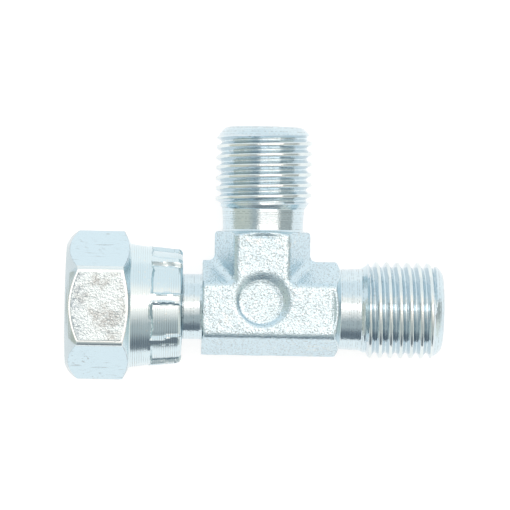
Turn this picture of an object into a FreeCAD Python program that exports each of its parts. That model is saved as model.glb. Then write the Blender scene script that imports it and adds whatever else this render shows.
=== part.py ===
import FreeCAD, Part
import math
import os

Vector = FreeCAD.Vector

# Frame: the origin is where the two flow axes cross, the run lies along X and the branch along +Y
# The run's male end points to +X, the swivel nut to -X, and +Z is the side that carries the round recess

# Thread of both male ends and of the nut, metric M14 x 1.5
thread_major_r = 7.0
thread_pitch = 1.5
thread_half_flank_deg = 30.0
male_thread_depth = 0.92
male_crest_flat = 0.19
nut_thread_depth = 0.81
nut_crest_flat = 0.375

# Forged arms, six-sided across, with the parting line on the two side corners
arm_half_width = 6.95
arm_half_depth = 6.6
arm_flat_width = 7.1
arm_end = 11.4
body_left = 8.9
arm_end_cone_deg = 60.0
left_edge_chamfer = 0.3
inner_corner_fillet = 1.3
flat_edge_fillet = 0.45

# Round recess in the front flat
recess_rim_r = 3.78
recess_floor_r = 3.15
recess_depth = 0.6
recess_shift = 1.1

# Male ends, measured outwards from the crossing
neck_r = thread_major_r - 1.1
neck_end = 14.4
thread_collar = 0.8
male_tip = 26.45
male_tip_chamfer = 1.12

# Passages and sealing cone of the male ends
socket_wall = 3.0
tube_socket_r = thread_major_r - socket_wall
cone_mouth_r = tube_socket_r + 1.0
cone_half_deg = 12.0
tube_socket_depth = 7.0
flow_r = 3.0
nose_flow_r = 2.25
flow_overrun = 0.5
drill_half_deg = 59.0

# Stem and sealing nose on the swivel side
stem_r = 4.75
shoulder_r = thread_major_r - 0.2
shoulder_back = 15.55
shoulder_land = 1.0
shoulder_edge = 0.5
nose_base_r = cone_mouth_r + 0.05
nose_cone_length = 4.8
nose_tip_chamfer = 0.3

# Sealing ring of 1.5 mm section in its groove on the nose
seal_section_r = 0.75
seal_groove_r = nose_base_r - 1.9
seal_groove_width = 1.9
seal_groove_from_tip = 2.2
seal_clearance = 0.02

# Swivel nut, a hexagon with a skirt that is crimped at its end
hexagon_half_deg = 30.0
nut_across_flats = 19.0
nut_corner_r = 10.75
nut_hex_length = 9.15
nut_face_r = 8.9
nut_face_chamfer_deg = 45.0
nut_back_chamfer_deg = 30.0
nut_mouth_chamfer = 0.9
nut_skirt_r = 9.0
nut_skirt_length = 7.69
nut_skirt_fillet = 0.35
nut_crimp_r = 8.6
nut_crimp_length = 4.6
nut_lip_r = 8.25
nut_lip_round = 0.7
nut_stem_gap = 0.75
nut_shoulder_gap = 0.3
nut_relief_clearance = 0.2
nut_nose_clearance = 0.2
nut_runout_depth = 0.55
nut_runout_turns = 2
stem_visible = 2.66

# Crimped fields around the nut's skirt
dent_count = 8
dent_width_deg = 34.0
dent_depth = 0.45
dent_length = 4.0
dent_from_end = 0.35
dent_phase_deg = 14.0

# How far cutting shapes reach past the surface that they cut
over = 1.0


def tan(degrees):
    return math.tan(math.radians(degrees))


def outline(points):
    """Closed flat outline of straight edges in the XY plane: x along the axis, y the radius."""
    corners = [Vector(x, y, 0) for x, y in points]
    return Part.Face(Part.makePolygon(corners + [corners[0]]))


def spun(face):
    """A solid of revolution about the run axis."""
    return face.revolve(Vector(0, 0, 0), Vector(1, 0, 0), 360)


def onto_branch(shape):
    """Turn a shape made along +X onto the branch axis, +Y."""
    turned = shape.copy()
    turned.rotate(Vector(0, 0, 0), Vector(0, 0, 1), 90)
    return turned


def ring_grooves(crest_r, root_r, first_crest, crest_flat, count):
    """Outlines of thread grooves that follow a first crest: wide at the crest, narrow at the root."""
    outwards = 1 if crest_r > root_r else -1
    depth = abs(crest_r - root_r)
    half = (thread_pitch - crest_flat) / 2
    root_half = half - depth * tan(thread_half_flank_deg)
    wide_half = half + over * tan(thread_half_flank_deg)
    wide_r = crest_r + outwards * over
    grooves = []
    for turn in range(count):
        x = first_crest + crest_flat + half + turn * thread_pitch
        corners = [(x - root_half, root_r), (x - wide_half, wide_r)]
        corners += [(x + wide_half, wide_r), (x + root_half, root_r)]
        grooves.append(outline(corners))
    return grooves


def hex_bar(start, end):
    """Six-sided forged bar along X between two stations, with flats on +Z and -Z."""
    half_flat = arm_flat_width / 2
    corners = [(half_flat, arm_half_depth), (arm_half_width, 0), (half_flat, -arm_half_depth)]
    corners += [(-half_flat, -arm_half_depth), (-arm_half_width, 0), (-half_flat, arm_half_depth)]
    points = [Vector(start, y, z) for y, z in corners]
    face = Part.Face(Part.makePolygon(points + [points[0]]))
    return face.extrude(Vector(end - start, 0, 0))


def is_valley(edge):
    """True for the slanting inner corner edges between the branch and the run."""
    a = edge.Vertexes[0].Point
    b = edge.Vertexes[-1].Point
    slanting = abs(a.z - b.z) > arm_half_depth / 2
    on_mitre = abs(abs(a.x) - a.y) < 0.01 and abs(abs(b.x) - b.y) < 0.01
    return slanting and on_mitre


def borders_flat(edge):
    """True for an edge around the front flat, apart from the arms' own ends."""
    points = [edge.valueAt(edge.FirstParameter), edge.valueAt(edge.LastParameter)]
    high = all(abs(p.z - arm_half_depth) < 0.01 for p in points)
    at_left = all(abs(p.x + body_left) < 0.01 for p in points)
    at_right = all(abs(p.x - arm_end) < 0.01 for p in points)
    at_top = all(abs(p.y - arm_end) < 0.01 for p in points)
    return high and not (at_left or at_right or at_top)


def forged_block():
    """The T of six-sided arms, with filleted inner corners and softened flat edges."""
    both = hex_bar(-body_left, arm_end).fuse(onto_branch(hex_bar(0, arm_end))).removeSplitter()
    reach = 2 * (arm_end + body_left)
    upper = Part.makeBox(reach, reach, reach, Vector(-reach / 2, -reach / 2, 0))
    half = both.common(upper).removeSplitter().Solids[0]
    half = half.makeFillet(inner_corner_fillet, [e for e in half.Edges if is_valley(e)])
    half = half.makeFillet(flat_edge_fillet, [e for e in half.Edges if borders_flat(e)])
    other = half.mirror(Vector(0, 0, 0), Vector(0, 0, 1))
    return half.fuse(other).removeSplitter()


def arm_end_cutter():
    """Ring that leaves a turned cone on the end of an arm, down to the neck."""
    outer = 2 * arm_half_width
    slope = (outer - neck_r) / tan(arm_end_cone_deg)
    points = [(arm_end, neck_r), (arm_end - slope, outer), (arm_end + over, outer), (arm_end + over, neck_r)]
    return spun(outline(points))


def left_edge_cutter():
    """Ring that takes the sharp edge off the run's left face."""
    corner_r = math.hypot(arm_half_depth, arm_flat_width / 2)
    inner = corner_r - left_edge_chamfer * tan(arm_end_cone_deg)
    outer = corner_r + over * tan(arm_end_cone_deg)
    points = [(-body_left, inner), (-body_left + left_edge_chamfer + over, outer)]
    points += [(-body_left - over, outer), (-body_left - over, inner)]
    return spun(outline(points))


def male_end():
    """Neck, thread collar, thread and tip chamfer of one male end, along +X."""
    collar_end = neck_end + thread_collar
    chamfer_start = male_tip - male_tip_chamfer
    male_tip_r = thread_major_r - male_tip_chamfer
    blank = [(0, 0), (0, neck_r), (neck_end, neck_r), (collar_end, thread_major_r)]
    blank += [(chamfer_start, thread_major_r), (male_tip, male_tip_r), (male_tip, 0)]
    count = int((male_tip - collar_end) / thread_pitch)
    root_r = thread_major_r - male_thread_depth
    grooves = ring_grooves(thread_major_r, root_r, collar_end, male_crest_flat, count)
    return spun(outline(blank).cut(grooves).Faces[0])


def male_passage(start):
    """Flow bore, tube socket and 24-degree cone of one male end, along +X."""
    cone_end = male_tip - (cone_mouth_r - tube_socket_r) / tan(cone_half_deg)
    socket_end = male_tip - tube_socket_depth
    step = (tube_socket_r - flow_r) / tan(drill_half_deg)
    mouth_over_r = cone_mouth_r + over * tan(cone_half_deg)
    points = [(start, 0), (start, flow_r), (socket_end - step, flow_r), (socket_end, tube_socket_r)]
    points += [(cone_end, tube_socket_r), (male_tip + over, mouth_over_r), (male_tip + over, 0)]
    return spun(outline(points))


def nose_tip():
    """Distance of the nose's tip from the crossing, along -X."""
    return nose_cone_start() + nose_cone_length


def nose_cone_start():
    """Distance from the crossing at which the nose's cone begins."""
    return shoulder_back + (shoulder_r - stem_r) + shoulder_land + shoulder_edge


def seal_centre():
    """Distance of the sealing ring's middle plane from the crossing."""
    return nose_tip() - seal_groove_from_tip


def stem_and_nose():
    """Turned stem, shoulder and grooved sealing cone on the swivel side."""
    land_start = shoulder_back + shoulder_r - stem_r
    land_end = land_start + shoulder_land
    tip_r = nose_base_r - nose_cone_length * tan(cone_half_deg)
    blank = [(0, 0), (0, stem_r), (-shoulder_back, stem_r), (-land_start, shoulder_r)]
    blank += [(-land_end, shoulder_r), (-nose_cone_start(), shoulder_r - shoulder_edge)]
    blank += [(-nose_cone_start(), nose_base_r), (-nose_tip() + nose_tip_chamfer, tip_r)]
    blank += [(-nose_tip(), tip_r - nose_tip_chamfer), (-nose_tip(), 0)]
    half = seal_groove_width / 2
    groove = [(-seal_centre() - half, seal_groove_r), (-seal_centre() + half, seal_groove_r)]
    groove += [(-seal_centre() + half, nose_base_r + over), (-seal_centre() - half, nose_base_r + over)]
    return spun(outline(blank).cut(outline(groove)).Faces[0])


def nose_passage():
    """Narrower flow bore through the nose and stem, joined to the run bore by a drill cone."""
    run_start = -flow_r - flow_overrun
    cone_end = run_start - (flow_r - nose_flow_r) / tan(drill_half_deg)
    points = [(run_start, 0), (run_start, flow_r), (cone_end, nose_flow_r)]
    points += [(-nose_tip() - over, nose_flow_r), (-nose_tip() - over, 0)]
    return spun(outline(points))


def front_recess():
    """Shallow round recess with a sloping wall, set slightly towards the branch."""
    wall_slope = (recess_rim_r - recess_floor_r) / recess_depth
    top_r = recess_rim_r + over * wall_slope
    floor = arm_half_depth - recess_depth
    centre = Vector(0, recess_shift, floor)
    return Part.makeCone(recess_floor_r, top_r, recess_depth + over, centre, Vector(0, 0, 1))


def tee_body():
    """Forged and turned body with both male ends and the nose."""
    block = forged_block()
    block = block.cut(arm_end_cutter()).cut(onto_branch(arm_end_cutter())).cut(left_edge_cutter())
    block = block.cut(front_recess())
    block = block.fuse([male_end(), onto_branch(male_end()), stem_and_nose()])
    block = block.cut([male_passage(-flow_r - flow_overrun), onto_branch(male_passage(0)), nose_passage()])
    return block.removeSplitter().Solids[0]


def seal_ring():
    """Round-section sealing ring in the nose groove."""
    ring_r = seal_groove_r + seal_clearance + seal_section_r
    return Part.makeTorus(ring_r, seal_section_r, Vector(-seal_centre(), 0, 0), Vector(1, 0, 0))


def nut_end():
    """Distance of the skirt's open end from the crossing."""
    return body_left + stem_visible


def nut_mouth():
    """Distance of the nut's mouth face from the crossing."""
    return nut_end() + nut_skirt_length + nut_hex_length


def nut_hex():
    """Six-sided part of the nut with a flat on +Z, and turned chamfers at both ends."""
    back = nut_mouth() - nut_hex_length
    back_r = nut_skirt_r + nut_skirt_fillet
    corner = nut_across_flats / 2 / math.cos(math.radians(hexagon_half_deg))
    angles = [math.radians(2 * hexagon_half_deg * i) for i in range(6)]
    points = [Vector(-nut_mouth(), corner * math.cos(a), corner * math.sin(a)) for a in angles]
    prism = Part.Face(Part.makePolygon(points + [points[0]])).extrude(Vector(nut_hex_length, 0, 0))
    front_slope = (nut_corner_r - nut_face_r) * tan(nut_face_chamfer_deg)
    back_slope = (nut_corner_r - back_r) * tan(nut_back_chamfer_deg)
    envelope = [(-nut_mouth(), 0), (-nut_mouth(), nut_face_r), (-nut_mouth() + front_slope, nut_corner_r)]
    envelope += [(-back - back_slope, nut_corner_r), (-back, back_r), (-back, 0)]
    return prism.common(spun(outline(envelope)))


def nut_skirt():
    """Turned skirt behind the hexagon, tapering to a rounded lip."""
    back = nut_mouth() - nut_hex_length
    fillet_mid = nut_skirt_fillet * (1 - math.sqrt(0.5))
    lip_mid = nut_lip_round * (1 - math.sqrt(0.5))
    corners = [Vector(-back - over, 0, 0), Vector(-back - over, nut_skirt_r + nut_skirt_fillet, 0)]
    corners += [Vector(-back, nut_skirt_r + nut_skirt_fillet, 0)]
    edges = [Part.makeLine(corners[0], corners[1]), Part.makeLine(corners[1], corners[2])]
    fillet_end = Vector(-back + nut_skirt_fillet, nut_skirt_r, 0)
    middle = Vector(-back + fillet_mid, nut_skirt_r + fillet_mid, 0)
    edges.append(Part.Arc(corners[2], middle, fillet_end).toShape())
    crimp_start = Vector(-nut_end() - nut_crimp_length, nut_crimp_r, 0)
    crimp_end = Vector(-nut_end() - nut_lip_round, nut_lip_r, 0)
    lip_end = Vector(-nut_end(), nut_lip_r - nut_lip_round, 0)
    lip_middle = Vector(-nut_end() - lip_mid, nut_lip_r - lip_mid, 0)
    edges += [Part.makeLine(fillet_end, crimp_start), Part.makeLine(crimp_start, crimp_end)]
    edges.append(Part.Arc(crimp_end, lip_middle, lip_end).toShape())
    foot = Vector(-nut_end(), 0, 0)
    edges += [Part.makeLine(lip_end, foot), Part.makeLine(foot, corners[0])]
    return spun(Part.Face(Part.Wire(edges)))


def crimp_dents():
    """Cutters for the pressed-in fields round the skirt, each an arc with a floor along the taper."""
    taper = (nut_crimp_r - nut_lip_r) / (nut_crimp_length - nut_lip_round)
    start = nut_end() + dent_from_end
    end = start + dent_length
    start_r = nut_lip_r - dent_depth + taper * (dent_from_end - nut_lip_round)
    end_r = start_r + taper * dent_length
    points = [(-start, start_r), (-end, end_r), (-end, nut_skirt_r + over), (-start, nut_skirt_r + over)]
    face = outline(points)
    dents = []
    for i in range(dent_count):
        dent = face.revolve(Vector(0, 0, 0), Vector(1, 0, 0), dent_width_deg)
        turn = 90 + dent_phase_deg - dent_width_deg / 2 + i * 360 / dent_count
        dent.rotate(Vector(0, 0, 0), Vector(1, 0, 0), turn)
        dents.append(dent)
    return dents


def nut_bore():
    """Cutters for the inside of the nut: its bores, the seat for the shoulder and the thread's grooves."""
    crest_r = thread_major_r - nut_thread_depth
    relief_r = thread_major_r + nut_relief_clearance
    lip_r = stem_r + nut_stem_gap
    shoulder_sum = stem_r - shoulder_back
    seat_lip = shoulder_sum + nut_shoulder_gap - lip_r
    seat_relief = shoulder_sum + nut_shoulder_gap - relief_r
    mouth_r = crest_r + nut_mouth_chamfer
    first_crest = nut_mouth_chamfer - nut_mouth()
    runout_r = thread_major_r - nut_runout_depth
    full_room = -nose_tip() - nut_nose_clearance - first_crest - nut_crest_flat
    full_crests = int(full_room / thread_pitch) + 1
    step_at = first_crest + (nut_crest_flat - thread_pitch) / 2 + full_crests * thread_pitch
    last_crest = first_crest + (full_crests + nut_runout_turns - 1) * thread_pitch
    last = last_crest + nut_crest_flat
    bore = [(-nut_mouth() - over, 0), (-nut_mouth() - over, mouth_r), (-nut_mouth(), mouth_r)]
    bore += [(first_crest, crest_r), (step_at, crest_r), (step_at, runout_r)]
    bore += [(last, runout_r), (last, relief_r), (seat_relief, relief_r), (seat_lip, lip_r)]
    bore += [(-nut_end() + over, lip_r), (-nut_end() + over, 0)]
    turns = full_crests + nut_runout_turns - 1
    grooves = ring_grooves(crest_r, thread_major_r, first_crest, nut_crest_flat, turns)
    return [spun(outline(bore))] + [spun(groove) for groove in grooves]


def swivel_nut():
    """Hexagon nut crimped behind the shoulder of the nose."""
    nut = nut_hex().fuse(nut_skirt())
    nut = nut.cut(crimp_dents())
    for cutter in nut_bore():
        nut = nut.cut(cutter)
    return nut.removeSplitter().Solids[0]


os.makedirs("parts", exist_ok=True)
nodes = {"tee_body": tee_body(), "swivel_nut": swivel_nut(), "seal_ring": seal_ring()}
for name, shape in nodes.items():
    shape.exportStep(f"parts/{name}.step")
    box = shape.BoundBox
    spans = [f"{lo:.2f}..{hi:.2f}" for lo, hi in ((box.XMin, box.XMax), (box.YMin, box.YMax), (box.ZMin, box.ZMax))]
    print(name, "valid", shape.isValid(), "solids", len(shape.Solids), "volume", round(shape.Volume, 1), *spans)
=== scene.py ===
# %% [markdown]
# # A swivel tee adapter of zinc-plated steel
# The object is a hydraulic fitting: a forged tee with two threaded male ends, and a hexagon nut
# that spins on a turned nose. A sealing ring sits in a groove on the nose, inside the nut.
# This first step loads the fixed frame, so that everything later is placed in the same axes:
# the run along X, the branch along +Y, and the side with the round recess facing +Z.

# %% Load the frame
import math

import bmesh
import bpy
import numpy as np
from mathutils import Matrix, Vector, noise


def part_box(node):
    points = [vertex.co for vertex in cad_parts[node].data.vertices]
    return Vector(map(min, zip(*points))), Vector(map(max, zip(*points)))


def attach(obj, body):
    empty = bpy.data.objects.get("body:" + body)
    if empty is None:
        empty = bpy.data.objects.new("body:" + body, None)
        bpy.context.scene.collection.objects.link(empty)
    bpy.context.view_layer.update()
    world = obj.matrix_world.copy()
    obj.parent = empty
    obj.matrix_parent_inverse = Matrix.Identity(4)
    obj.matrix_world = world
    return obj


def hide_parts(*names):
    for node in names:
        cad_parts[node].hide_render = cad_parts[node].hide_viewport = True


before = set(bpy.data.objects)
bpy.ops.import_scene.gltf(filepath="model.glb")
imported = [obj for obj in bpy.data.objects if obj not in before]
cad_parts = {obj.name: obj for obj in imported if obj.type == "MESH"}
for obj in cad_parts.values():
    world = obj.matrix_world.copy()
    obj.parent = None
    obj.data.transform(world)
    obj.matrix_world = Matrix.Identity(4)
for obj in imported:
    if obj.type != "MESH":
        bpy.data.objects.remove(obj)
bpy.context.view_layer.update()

MM = 0.001

# %% [markdown]
# ## The sizes that the pieces share
# All lengths below are in millimetres, because that is how a fitting is drawn. They are the
# real part's sizes: a 14 mm thread of 1.5 mm pitch, a 19 mm hexagon and six-sided forged arms.
# Keeping them in one place lets each piece meet its neighbour without measuring anything twice.
# Whatever lies more than ENDS_BEYOND from the middle belongs to one of the two male ends.

# %% Shared sizes
PITCH = 1.5
MAJOR_R = 7.0
ARM_HALF_WIDTH = 6.95
ARM_HALF_DEPTH = 6.6
RUN_ARM_END, BRANCH_ARM_END = 11.3, 11.1
BODY_LEFT = -8.7
ENDS_BEYOND = 9.0
NECK_R = 5.9
MALE_TIP = 26.28
STEM_R = 4.75
NUT_MOUTH = -28.4
NUT_HEX_BACK = -19.25
NUT_END = -11.56
nut_low, nut_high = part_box("swivel_nut")
print("nut from", round(nut_low.x / MM, 2), "to", round(nut_high.x / MM, 2), "mm along the run")

# %% [markdown]
# ## Turned pieces
# Necks, threads, nose and nut are all made on a lathe, so they share one way of building: a
# profile of (position, radius) points goes round the axis in columns. A plain lathe shape could
# use the Screw modifier. Here each column may have its own profile, which lets a thread climb
# along its helix and lets a hexagon's flats meet a cone in clean arcs. Points that fall on the
# same place are merged afterwards, so the mesh is closed.

# %% From profiles to a mesh
def add_object(name, data):
    """Object in the scene that shows this mesh, lamp or camera."""
    made = bpy.data.objects.new(name, data)
    bpy.context.scene.collection.objects.link(made)
    return made


def mesh_object(name, corners, faces, materials, numbers):
    """Object with a clean mesh: doubles merged and faces turned outwards. Corners are in mm."""
    mesh = bpy.data.meshes.new(name)
    mesh.from_pydata((np.asarray(corners) * MM).tolist(), [], faces)
    for material in materials:
        mesh.materials.append(material)
    mesh.polygons.foreach_set("material_index", numbers)
    work = bmesh.new()
    work.from_mesh(mesh)
    bmesh.ops.remove_doubles(work, verts=work.verts, dist=1e-7)
    bmesh.ops.recalc_face_normals(work, faces=work.faces)
    work.to_mesh(mesh)
    work.free()
    return add_object(name, mesh)


def around_x(name, profile, turn, materials, wraps=False, band_numbers=0):
    """Turned object about X. profile[column, row] is (x, radius), turn the columns' degrees."""
    columns = len(turn) - 1
    profile = np.broadcast_to(profile, (columns + 1,) + np.shape(profile)[-2:])
    angle = np.radians(turn)[:, None]
    x, r = profile[..., 0], profile[..., 1]
    corners = np.stack([x, r * np.cos(angle), r * np.sin(angle)], axis=-1).reshape(-1, 3)
    rows = profile.shape[1]
    bands = rows if wraps else rows - 1
    column, band = np.meshgrid(np.arange(columns), np.arange(bands), indexing="ij")
    following = (band + 1) % rows
    quads = np.stack([column * rows + band, column * rows + following,
                      (column + 1) * rows + following, (column + 1) * rows + band], axis=-1)
    numbers = np.broadcast_to(band_numbers, column.shape).ravel()
    return mesh_object(name, corners, quads.reshape(-1, 4).tolist(), materials, numbers)


def even_turn(columns):
    """Degrees of evenly spaced columns, with the first one repeated at 360."""
    return np.linspace(0, 360, columns + 1)


print("turned pieces are built from profiles, 1 column every few degrees")

# %% [markdown]
# ## The thread
# A metric thread is a V-groove of 60 degrees that climbs one pitch per turn. It could be a bump
# in the material, but its crests show in the outline, so it is real geometry. One turn's profile
# is drawn as depth below the crest. Rows follow the helix, and rows that would run past the end
# of the threaded length are clamped there, which closes the groove the way a real run-out does.

# %% Thread rows
TURN_STATIONS = np.array([0.0, 0.09, 0.155, 0.212, 0.2545, 0.275, 0.6, 0.625, 0.665])
TURN_DEPTHS = np.array([0.0, 0.002, 0.0135, 0.0465, 0.097, 0.1325, 0.6955, 0.735, 0.765])
ROOT_DEPTH = 0.77


def one_turn():
    """Stations along one pitch, from one crest's middle to the next, and their depths."""
    station = np.concatenate([TURN_STATIONS, [PITCH / 2], PITCH - TURN_STATIONS[:0:-1]])
    depth = np.concatenate([TURN_DEPTHS, [ROOT_DEPTH], TURN_DEPTHS[:0:-1]])
    return station, depth


def thread_rows(start, end, crest_at, turn):
    """x and depth for each column and row of a right-hand helix with a crest at crest_at on +Y."""
    station, depth = one_turn()
    first = math.floor((start - crest_at) / PITCH) - 1
    last = math.ceil((end - crest_at) / PITCH)
    along = np.concatenate([crest_at + k * PITCH + station for k in range(first, last + 1)])
    depths = np.tile(depth, last + 1 - first)
    climb = PITCH * turn[:, None] / 360
    x = np.clip(along[None, :] + climb, start, end)
    return x, np.broadcast_to(depths, x.shape)


print("thread profile has", len(one_turn()[0]), "rows per turn, deepest", ROOT_DEPTH, "mm")

# %% [markdown]
# ## A male end
# Each male end leaves the forging with a small fillet, runs along a plain neck and flares up to
# the thread, which ends in a turned chamfer at the tip. The outline between the neck and the tip
# is an envelope: the thread is cut from it, so the radius is the smaller of the two. The piece is
# built as a closed plug that reaches into the forging, ready to be united with it. Its faces take
# one of three finishes, by their depth below the crest: crest, thread flank, and plain turning
# for the rest.

# %% Sizes of a male end
MALE_TURN = even_turn(128)
PLUG_START = 8.0
NECK_ROOT_R, NECK_TOP_R = 5.84, 5.97
NECK_FILLET, FILLET_CENTRE = 0.45, 11.48
END_OUTLINE = [(14.35, NECK_TOP_R), (14.42, 6.03), (15.08, 6.45), (15.14, 6.5), (15.45, MAJOR_R),
               (24.7, MAJOR_R), (24.95, 6.7), (25.4, 6.45), (25.8, 6.13), (26.08, 5.83),
               (26.2, 5.62), (MALE_TIP, 5.38)]
TIP_FACE_R = 5.2
GROOVE_STARTS, GROOVE_ENDS = 14.5, 25.35
RUN_IN, RUN_OUT = 0.3, 0.45
FINISH_STARTS, FINISH_ENDS = 15.2, 25.0
CREST_BELOW, FLANK_BELOW, ROOT_BELOW = 0.05, 0.11, 0.745
ON_FLANK, ON_CREST = 1, 2
print("thread grooves from", GROOVE_STARTS, "to", GROOVE_ENDS, "mm from the middle")

# %% Male ends
def neck_profile():
    """From a cap inside the forging, round the fillet and along the neck."""
    points = [(PLUG_START, 0.0), (PLUG_START, 4.6), (10.75, NECK_R)]
    for degrees in (-150, -135, -120, -105, -90):
        a = math.radians(degrees)
        points.append((FILLET_CENTRE + NECK_FILLET * math.cos(a),
                       NECK_ROOT_R + NECK_FILLET + NECK_FILLET * math.sin(a)))
    points += [(12.4, NECK_ROOT_R + 0.02), (13.4, NECK_TOP_R - 0.05), (14.2, NECK_TOP_R)]
    return points


def male_end(name, crest_at, materials):
    """Neck, flare, thread and chamfered tip along +X, as one closed plug in three finishes."""
    stations, radii = zip(*END_OUTLINE)
    x, depth = thread_rows(stations[0], MALE_TIP, crest_at, MALE_TURN)
    depth = depth * np.clip((x - GROOVE_STARTS) / RUN_IN, 0, 1)
    depth = depth * np.clip((GROOVE_ENDS - x) / RUN_OUT, 0, 1)
    r = np.minimum(MAJOR_R - depth, np.interp(x, stations, radii))
    columns = len(MALE_TURN)
    neck = neck_profile()
    inner = np.broadcast_to(neck, (columns, len(neck), 2))
    cap = np.broadcast_to([(MALE_TIP, TIP_FACE_R), (MALE_TIP, 0.0)], (columns, 2, 2))
    profile = np.concatenate([inner, np.stack([x, r], axis=-1), cap], axis=1)
    plug = around_x(name, profile, MALE_TURN, materials)
    for face in plug.data.polygons:
        below = MAJOR_R - face.center.yz.length / MM
        if FINISH_STARTS < face.center.x / MM < FINISH_ENDS:
            if below < CREST_BELOW:
                face.material_index = ON_CREST
            elif FLANK_BELOW < below < ROOT_BELOW:
                face.material_index = ON_FLANK
    return plug


print("male end runs from the forging to", MALE_TIP, "mm")

# %% [markdown]
# ## Maths on shader sockets
# Materials mix noises, masks and coordinates. Written node by node that is hard to read, so one
# small class wraps a socket: an expression such as 1 - mask or grain * 0.3 adds its Math nodes.
# Every other node comes from the method called node, which sets the node up and then feeds it.

# %% A socket that can be calculated with
class Wire:
    """An output socket in a node tree, or only the tree while there is no socket yet."""

    def __init__(self, tree, socket=None):
        self.tree = tree
        self.socket = socket

    def node(self, kind, settings=None, inputs=None, output=0):
        """Add a node: its settings first, a ramp's stops among them, then its sockets."""
        made = self.tree.nodes.new("ShaderNode" + kind)
        for name, value in (settings or {}).items():
            if name == "stops":
                for position, _ in value[2:]:
                    made.color_ramp.elements.new(position)
                for element, (position, colour) in zip(made.color_ramp.elements, value):
                    element.position = position
                    element.color = (*colour, 1)
            else:
                setattr(made, name, value)
        for name, value in (inputs or {}).items():
            if isinstance(value, Wire):
                self.tree.links.new(value.socket, made.inputs[name])
            else:
                made.inputs[name].default_value = value
        return Wire(self.tree, made.outputs[output]) if len(made.outputs) else made

    def other(self, output):
        """Another output of the same node."""
        return Wire(self.tree, self.socket.node.outputs[output])

    def maths(self, operation, *values):
        return self.node("Math", {"operation": operation}, dict(enumerate(values)))

    def __add__(self, other):
        return self.maths("ADD", self, other)

    def __sub__(self, other):
        return self.maths("SUBTRACT", self, other)

    def __rsub__(self, other):
        return self.maths("SUBTRACT", other, self)

    def __mul__(self, other):
        return self.maths("MULTIPLY", self, other)

    __radd__ = __add__
    __rmul__ = __mul__

    def part_after_point(self):
        return self.maths("FRACT", self)

    def size(self):
        return self.maths("ABSOLUTE", self)

    def above(self, limit):
        return self.maths("GREATER_THAN", self, limit)

    def capped(self):
        """No more than 1."""
        return self.maths("MINIMUM", self, 1.0)

    def step(self, low, high):
        """0 below low, 1 above high, and a smooth rise between them."""
        return self.node("MapRange", {"interpolation_type": "SMOOTHSTEP"},
                         {"Value": self, "From Min": low, "From Max": high})

    def within(self, rise, fall):
        """1 between two soft edges, each given as where it starts and ends, and 0 outside."""
        return self.step(*rise) * (1 - self.step(*fall))

    def tint(self, first, second):
        """The first colour where this is 0 and the second where it is 1."""
        colours = [c if isinstance(c, Wire) else (*c, 1) for c in (first, second)]
        return self.node("Mix", {"data_type": "RGBA"}, {0: self, 6: colours[0], 7: colours[1]}, 2)


def empty_material(name):
    """New material without nodes, and the tree that its nodes go into."""
    material = bpy.data.materials.new(name)
    material.use_nodes = True
    material.node_tree.nodes.clear()
    return material, Wire(material.node_tree)


print("shader expressions are ready")

# %% [markdown]
# ## Light and background
# The fitting is bright metal, so it looks like whatever it reflects. The bands in the photograph
# tell what stood round it: two soft lamps overhead, a pale wall towards the top of the picture,
# and a dimmer room on the other sides, darkest low down at the bottom of the picture. All that
# the metal reflects is painted in the world by direction, the lamps' faces too, so that every
# band can be given the brightness it has in the photograph. The camera sees plain white there.
# A direction is a vector of length 1, across to the right and upwards in the picture, so a band's
# soft edges are given as parts of 1: from 0.76 to 0.95 is 49 to 72 degrees off straight up.

# %% The room
WALL = (0.51, 0.54, 0.54)
LOW_WALL = (0.20, 0.23, 0.26)
LEFT_WALL = (0.72, 0.71, 0.62)
RIGHT_WALL = (0.50, 0.51, 0.49)
PALE_WALL = (1.01, 1.04, 1.05)
LAMP_GLOW = (1.34, 1.20, 1.10)
NARROW_LAMP = (1.58, 1.40, 1.32)
WIDE_LAMP = (1.60, 1.39, 1.22)
LAMP_CORE = (2.9, 2.5, 2.28)
RIGHT_GLOW = (0.95, 0.93, 0.84)
WHITE = (1.0, 1.0, 1.0)
OVERHEAD_EDGES = (-0.34, -0.15), (0.62, 0.74)
NARROW_EDGES = (-0.21, -0.18), (0.13, 0.155)
WIDE_EDGES = (0.17, 0.195), (0.63, 0.66)
LAMP_EDGES = (-0.11, -0.05), (0.29, 0.35)
CORE_EDGES = (-0.01, 0.08), (0.2, 0.32)

world = bpy.data.worlds.new("studio_room")
bpy.context.scene.world = world
world.use_nodes = True
world.node_tree.nodes.clear()
room = Wire(world.node_tree)
across = room.node("SeparateXYZ", {}, {0: room.node("TexCoord")})
upwards = across.other(1)
walls = (upwards * -1).step(0.76, 0.95).tint(WALL, LOW_WALL)
walls = (across * -1).step(0.45, 0.75).tint(walls, LEFT_WALL)
walls = across.step(0.6, 0.75).tint(walls, RIGHT_WALL)
below_right = across.step(0.5, 0.65) * (upwards * -1).step(0.15, 0.4)
walls = below_right.tint(walls, RIGHT_GLOW)
overhead = across.within(*OVERHEAD_EDGES)
walls = (overhead * upwards.step(-0.62, -0.06)).tint(walls, LAMP_GLOW)
above = upwards.step(0.48, 0.72) * overhead + upwards.step(0.24, 0.36) * (1 - overhead)
walls = above.tint(walls, PALE_WALL)
narrow, wide = across.within(*NARROW_EDGES), across.within(*WIDE_EDGES)
lamp_face = upwards.within(*LAMP_EDGES)
walls = (narrow * lamp_face).tint(walls, NARROW_LAMP)
walls = (wide * lamp_face).tint(walls, WIDE_LAMP)
walls = ((narrow + wide) * upwards.within(*CORE_EDGES)).tint(walls, LAMP_CORE)
seen = room.node("LightPath")
shown = (seen + seen.other("Is Transmission Ray")).capped().tint(walls, WHITE)
room.node("OutputWorld", {}, {0: room.node("Background", {}, {0: shown, 1: 1.0})})
print("the room's walls are painted by direction")

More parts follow.
